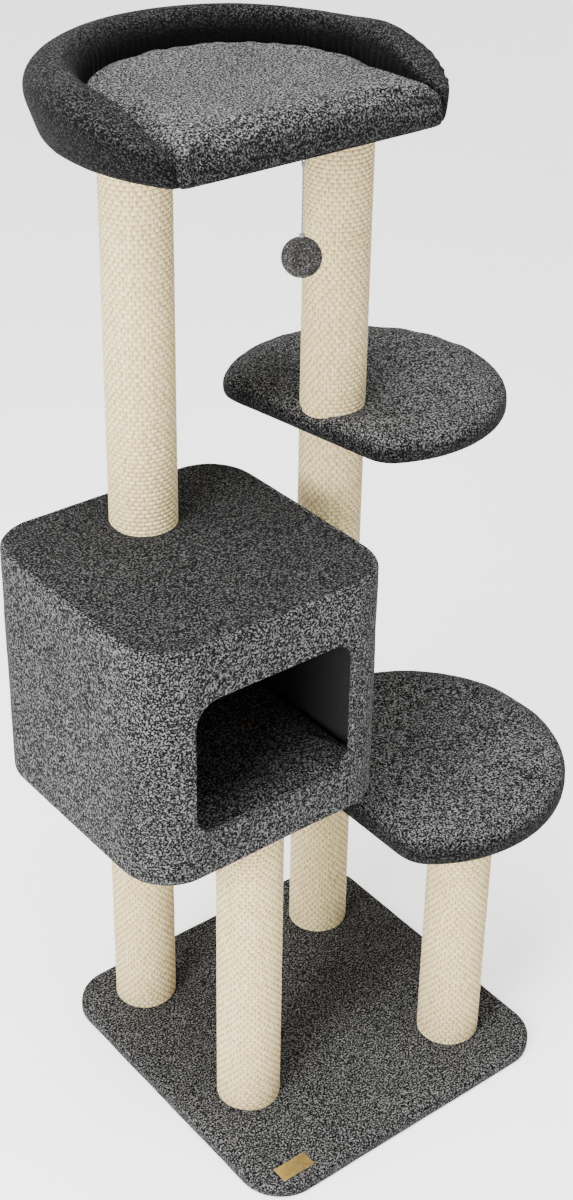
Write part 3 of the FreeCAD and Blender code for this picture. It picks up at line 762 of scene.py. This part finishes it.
def make_base():
    low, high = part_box("base_cover")
    carpet = rounded_slab("base_carpet", low, high, BASE_CORNER, top=6 * MM, bottom=4 * MM)
    edit_where(carpet, "FACE", faces_down)
    bpy.ops.mesh.inset(thickness=HEM - 4 * MM)
    bpy.ops.mesh.delete(type="FACE")
    leave_edit()
    slice_up(carpet, "xy", 12 * MM)
    for post in ("left_front_post", "left_rear_post", "right_front_post", "right_rear_post"):
        press_in(carpet, middle_of(post + "_rope"), POST_RADIUS, 7 * MM, 1.2 * MM)
    roughen(carpet, 30 * MM, 1.2 * MM)
    modify(carpet, "SOLIDIFY", thickness=FABRIC * 0.95, offset=-1, use_even_offset=True)
    lift_above(carpet, low.z)
    smooth_look(carpet)
    # Painted light and shade: the top lighter and the sides a little darker.
    paint_light_by_facing(carpet, top=1.25, outer=0.9)
    finish_piece(carpet, "charcoal_plush", replaced=["base_cover"], material="plush_painted_light")

    backing = node_copy("base_underlay", "base_backing")
    slice_up(backing, "xy", 24 * MM)
    roughen(backing, 20 * MM, 0.5 * MM)
    lift_above(backing, low.z)
    smooth_look(backing)
    finish_piece(backing, "nonwoven_backing", replaced=["base_underlay"])

    make_plate()


def make_plate():
    """A blank plate with a rolled edge and a sunk field."""
    low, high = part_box("label_plate")
    plate = rounded_slab("blank_plate", low, high, 2.2 * MM, top=0.35 * MM, segments=5)
    edit_where(plate, "FACE", lambda face: face.normal.z > 0.99 and face.area > 1e-4)
    bpy.ops.mesh.inset(thickness=1.3 * MM)
    bpy.ops.mesh.inset(thickness=0.35 * MM, depth=-0.3 * MM)
    leave_edit()
    rivets = []
    inset = 4 * MM
    for x in (low.x + inset, high.x - inset):
        deselect()
        bpy.ops.mesh.primitive_uv_sphere_add(
            segments=16, ring_count=8, radius=1.1 * MM,
            location=(x, (low.y + high.y) / 2, high.z - 0.3 * MM),
        )
        rivets.append(named("rivet", (1, 1, 0.5)))
    join(plate, *rivets)
    smooth_look(plate, 30)
    finish_piece(plate, "brass_plate", replaced=["label_plate"])


# ---------------------------------------------------------------- cabin

CABIN_CORNER = 67 * MM
WALL = 4 * MM
DOOR_WIDTH = 231 * MM
DOOR_HEIGHT = 188 * MM
DOOR_SILL = 61 * MM
DOOR_CORNER = 33 * MM
DOOR_SHIFT = -4 * MM
FLANGE = 2.5 * MM


def door_block(name, depth_out, depth_in, grow=0.0):
    """A block of the doorway's outline through the front wall."""
    low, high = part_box("cabin_wall_cover")
    middle = (low.x + high.x) / 2 + DOOR_SHIFT
    half = DOOR_WIDTH / 2 + grow
    block = start_box(
        name,
        (middle - half, low.y - depth_out, low.z + DOOR_SILL - grow),
        (middle + half, low.y + depth_in, low.z + DOOR_SILL + DOOR_HEIGHT + grow),
    )
    round_along(block, "y", DOOR_CORNER + grow, 12)
    return block


def open_ends(piece, flange):
    """Takes away the top and bottom faces, all but a flange of this width."""
    edit_where(piece, "FACE", lambda face: abs(face.normal.z) > 0.99)
    if flange:
        bpy.ops.mesh.inset(thickness=flange)
    bpy.ops.mesh.delete(type="FACE")
    leave_edit()


def make_cabin():
    low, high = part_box("cabin_wall_cover")
    sleeve = rounded_slab("cabin_sleeve", low, high, CABIN_CORNER, 4 * MM, 4 * MM, 18)
    open_ends(sleeve, FLANGE)
    slice_up(sleeve, "xyz", 16 * MM)
    roughen(sleeve, 60 * MM, 1.6 * MM)
    modify(sleeve, "SOLIDIFY", thickness=FABRIC * 0.9, offset=-1, use_even_offset=True)
    cut_with(sleeve, door_block("door_cut", 30 * MM, 60 * MM))
    smooth_look(sleeve)
    finish_piece(sleeve, "charcoal_plush", replaced=["cabin_wall_cover"])

    depth = FABRIC + WALL + 2 * MM
    edging = door_block("doorway_edging", 0.7 * MM, depth)
    edit_where(edging, "FACE", lambda face: abs(face.normal.y) > 0.99)
    bpy.ops.mesh.delete(type="FACE")
    leave_edit()
    slice_up(edging, "xz", 12 * MM)
    modify(edging, "SOLIDIFY", thickness=3 * MM, offset=0.4, use_even_offset=True)
    take(edging)
    modify(edging, "BEVEL", width=1.1 * MM, segments=3, angle_limit=math.radians(50))
    smooth_look(edging)
    finish_piece(edging, "charcoal_plush")

    low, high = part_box("cabin_lining")
    inner_corner = CABIN_CORNER - FABRIC - WALL
    lining = rounded_slab("cabin_lining_cloth", low, high, inner_corner, segments=16)
    open_ends(lining, 0)
    slice_up(lining, "xyz", 14 * MM)
    roughen(lining, 50 * MM, 1.0 * MM)
    modify(lining, "SOLIDIFY", thickness=1.2 * MM, offset=-1, use_even_offset=True)
    cut_with(lining, door_block("door_cut", 30 * MM, 60 * MM, 0.5 * MM))
    smooth_look(lining)
    finish_piece(lining, "dark_lining", replaced=["cabin_lining"])

    make_cabin_panel("cabin_roof_panel", "cabin_roof_cover", 1)
    make_cabin_panel("cabin_floor_panel", "cabin_floor_cover", -1)
    make_mat()


def make_cabin_panel(name, node, side):
    """The cloth of the roof or the floor, tucked in behind the wall cloth's edge."""
    low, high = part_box(node)
    tuck = 4.2 * MM
    low = low + Vector((tuck, tuck, 0))
    high = high - Vector((tuck, tuck, 0))
    corner = CABIN_CORNER - FABRIC - tuck
    outer = 1.9 * MM
    rims = {"top": outer} if side > 0 else {"bottom": outer}
    panel = rounded_slab(name, low, high, corner, segments=16, **rims)
    slice_up(panel, "xy", 16 * MM)
    if side > 0:
        press_in(panel, middle_of("upper_left_post_rope"), POST_RADIUS, 7 * MM, 1.0 * MM)
    roughen(panel, 50 * MM, 1.2 * MM)
    smooth_look(panel)
    # Painted shade: the whole panel is darkened evenly; on the roof it stands for the shadow that the
    # perch casts.
    paint_light_by_facing(panel, top=0.5, outer=0.5)
    finish_piece(panel, "charcoal_plush", replaced=[node], material="plush_painted_light")


def make_mat():
    mat = node_copy("cabin_mat", "cabin_mat_pad")
    low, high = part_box("cabin_mat")
    modify(mat, "REMESH", mode="VOXEL", voxel_size=5.5 * MM, use_smooth_shade=True)
    modify(mat, "SMOOTH", factor=0.5, iterations=6)
    shrink(mat, 2 * MM)
    puff(mat, 6 * MM, lambda p: p.z < low.z + 4 * MM)
    for point in mat.data.vertices:
        point.co.x = min(max(point.co.x, low.x - MM), high.x + MM)
        point.co.y = min(max(point.co.y, low.y - MM), high.y + MM)
        point.co.z = max(point.co.z, low.z)
    modify(mat, "SUBSURF", levels=1, render_levels=1)
    finish_piece(mat, "charcoal_plush", "cabin_mat", ["cabin_mat"])


# ---------------------------------------------------------------- padded shelves


def make_shelf(name, key):
    """Cloth over foam, pulled tight under the board and crowned on top."""
    cushion = node_copy(key + "_cover", name)
    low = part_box(key + "_cover")[0]
    hull(cushion)
    modify(cushion, "REMESH", mode="VOXEL", voxel_size=4.5 * MM, use_smooth_shade=True)
    modify(cushion, "SMOOTH", factor=0.5, iterations=5)
    puff(cushion, 4 * MM, lambda p: p.z < low.z + 5 * MM)
    modify(cushion, "SMOOTH", factor=0.5, iterations=8)
    modify(cushion, "SUBSURF", levels=1, render_levels=1)
    press_in(cushion, middle_of("middle_post_rope"), POST_RADIUS, 9 * MM, 3 * MM)
    lift_above(cushion, low.z)
    # Painted light and shade: the top lighter and the sides much darker.
    paint_light_by_facing(cushion, top=1.45, outer=0.27)
    finish_piece(cushion, "charcoal_plush", replaced=[key + "_cover", key + "_padding"],
                 material="plush_painted_light")


# ---------------------------------------------------------------- perch

APRON_DEPTH = 14 * MM
GATHERS = 110
PUCKER = 1.4 * MM
PIPING_RADIUS = 1.1 * MM
ABOVE_ALL = 2
EVENING_PASSES = 3
PERCH_RADIUS = 246 * MM
roll_low, roll_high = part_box("bolster")
PERCH_CENTRE = Vector(((roll_low.x + roll_high.x) / 2, roll_high.y - PERCH_RADIUS, 0))


def make_mattress():
    """A crowned pad whose cloth runs on down over the front edge of the board."""
    low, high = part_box("mattress")
    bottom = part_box("perch_cover")[0].z
    pad = node_copy("mattress", "perch_mattress")
    inset = 3 * MM
    apron = start_box(
        "apron",
        (low.x + inset, low.y, bottom - 0.8 * MM),
        (high.x - inset, low.y + APRON_DEPTH, high.z - 8 * MM),
    )
    join(pad, apron)
    modify(pad, "REMESH", mode="VOXEL", voxel_size=4.5 * MM, use_smooth_shade=True)
    modify(pad, "SMOOTH", factor=0.5, iterations=10)
    puff(pad, 7 * MM, lambda p: p.z < low.z + 3 * MM)
    modify(pad, "SMOOTH", factor=0.5, iterations=4)
    modify(pad, "SUBSURF", levels=1, render_levels=1)
    # Painted light and shade: the top lighter and the sides much darker.
    paint_light_by_facing(pad, top=1.3, outer=0.35)
    finish_piece(pad, "charcoal_plush", replaced=["mattress"], material="plush_painted_light")
    return pad


def make_bolster():
    """The horseshoe roll and the cloth under the perch, as one stuffed piece."""
    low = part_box("bolster")[0]
    deck_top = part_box("perch_cover")[1].z
    roll = node_copy("bolster", "perch_bolster")
    deck = node_copy("perch_cover", "deck")
    hull(deck)
    shrink(deck, -3 * MM)
    lift_above(deck, low.z)
    join(roll, deck)
    modify(roll, "REMESH", mode="VOXEL", voxel_size=5 * MM, use_smooth_shade=True)
    modify(roll, "SMOOTH", factor=0.5, iterations=8)
    puff(roll, 6 * MM, lambda p: p.z < low.z + 5 * MM)
    modify(roll, "SMOOTH", factor=0.5, iterations=3)
    modify(roll, "SUBSURF", levels=1, render_levels=1)
    gather(roll, deck_top)
    # The roll's cloth is darker all over; shade is painted in on top of that: the outer sides darker
    # and the inner side, facing the middle, nearly black.
    paint_light_by_facing(roll, top=0.34, inner=0.01, outer=0.16, middle=PERCH_CENTRE)
    finish_piece(roll, "charcoal_plush", replaced=["bolster", "perch_cover"],
                 material="plush_painted_light")
    return roll


def gather(piece, deck):
    """Fine upright puckers where the cloth is drawn in along the roll's inner side."""
    normals = [point.normal.copy() for point in piece.data.vertices]
    for point, normal in zip(piece.data.vertices, normals):
        out = Vector((point.co.x - PERCH_CENTRE.x, point.co.y - PERCH_CENTRE.y, 0))
        inward = -normal.dot(out.normalized())
        if point.co.z < deck or inward < 0.2:
            continue
        turn = math.atan2(out.y, out.x)
        uneven = noise.noise(Vector((turn * 9, point.co.z * 20, 0)))
        fold = math.sin(GATHERS * turn + 4 * uneven)
        height = min(1.0, max(0.0, (point.co.z - deck) / (30 * MM)))
        point.co += normal * fold * PUCKER * min(1.0, inward) * (1 - 0.6 * height)


def crease(pad, roll, place, outward):
    """Where the pad's top first rises above the roll's, on the way inward past this place."""
    reach, stride = 24, MM / 2
    for step in range(reach, -reach - 1, -1):
        spot = place + outward * step * stride
        tops = []
        for piece in (pad, roll):
            found, top, _, _ = piece.ray_cast((spot.x, spot.y, ABOVE_ALL), (0, 0, -1))
            tops.append(top.z if found else 0)
        if tops[0] > tops[1]:
            break
    return Vector((spot.x, spot.y, max(tops))) - outward * MM


def make_piping(pad, roll):
    """A thin light cord sewn in along the crease between the mattress and the roll: up the
    left arm, round the back and down the right arm."""
    for piece in (pad, roll):
        piece.data.update()
    bpy.context.view_layer.update()
    low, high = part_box("mattress")
    radius = (high.x - low.x) / 2
    foot = low.y + 22 * MM
    arm_points, bend_points = 10, 60
    line = []
    for side, order in ((-1, range(arm_points)), (1, range(arm_points - 1, -1, -1))):
        outward = Vector((side, 0, 0))
        for number in order:
            y = foot + (PERCH_CENTRE.y - foot) * number / arm_points
            place = Vector((PERCH_CENTRE.x + side * radius, y, 0))
            line.append(crease(pad, roll, place, outward))
        if side < 0:
            for number in range(bend_points + 1):
                turn = math.pi * (1 - number / bend_points)
                outward = Vector((math.cos(turn), math.sin(turn), 0))
                line.append(crease(pad, roll, PERCH_CENTRE + outward * radius, outward))
    for _ in range(EVENING_PASSES):
        inner = [(a + 2 * b + c) / 4 for a, b, c in zip(line, line[1:], line[2:])]
        line = [line[0], *inner, line[-1]]
    lift = Vector((0, 0, 1.3 * PIPING_RADIUS))
    route = [where + lift for where in line]
    cord, _ = cord_along("perch_piping", "POLY", route, PIPING_RADIUS, 2)
    take(cord)
    bpy.ops.object.convert(target="MESH")
    smooth_look(cord, 50)
    finish_piece(cord, "grey_cord")


# ---------------------------------------------------------------- room and light


def make_light(name, place, aim, size, power):
    deselect()
    bpy.ops.object.light_add(type="AREA", location=place)
    light = bpy.context.object
    light.name = name
    light.data.shape = "DISK"
    light.data.size = size
    light.data.energy = power
    light.rotation_euler = (Vector(aim) - Vector(place)).to_track_quat("-Z", "Y").to_euler()


def make_studio():
    deselect()
    bpy.ops.mesh.primitive_plane_add(size=24, location=(0, 0, -0.5 * MM))
    floor = named("studio_floor")
    floor.data.materials.append(floor_material())
    world = bpy.data.worlds.new("Studio")
    bpy.context.scene.world = world
    world.use_nodes = True
    background = world.node_tree.nodes["Background"]
    background.inputs["Color"].default_value = (1, 1, 1, 1)
    background.inputs["Strength"].default_value = 0.66
    make_light("overhead", (-0.5, -0.1, 3.4), (0, 0, 0.7), 2.4, 180)
    make_light("left", (-2.6, -0.9, 1.8), (0, 0, 0.6), 1.4, 155)


# ---------------------------------------------------------------- the whole tree

make_camera()
MATERIALS = make_materials()
make_toy()
dress_cad_nodes()
make_ropes()
make_base()
make_cabin()
make_shelf("low_shelf_cushion", "low_shelf")
make_shelf("middle_shelf_cushion", "middle_shelf")
perch_pad = make_mattress()
perch_roll = make_bolster()
make_piping(perch_pad, perch_roll)
make_studio()
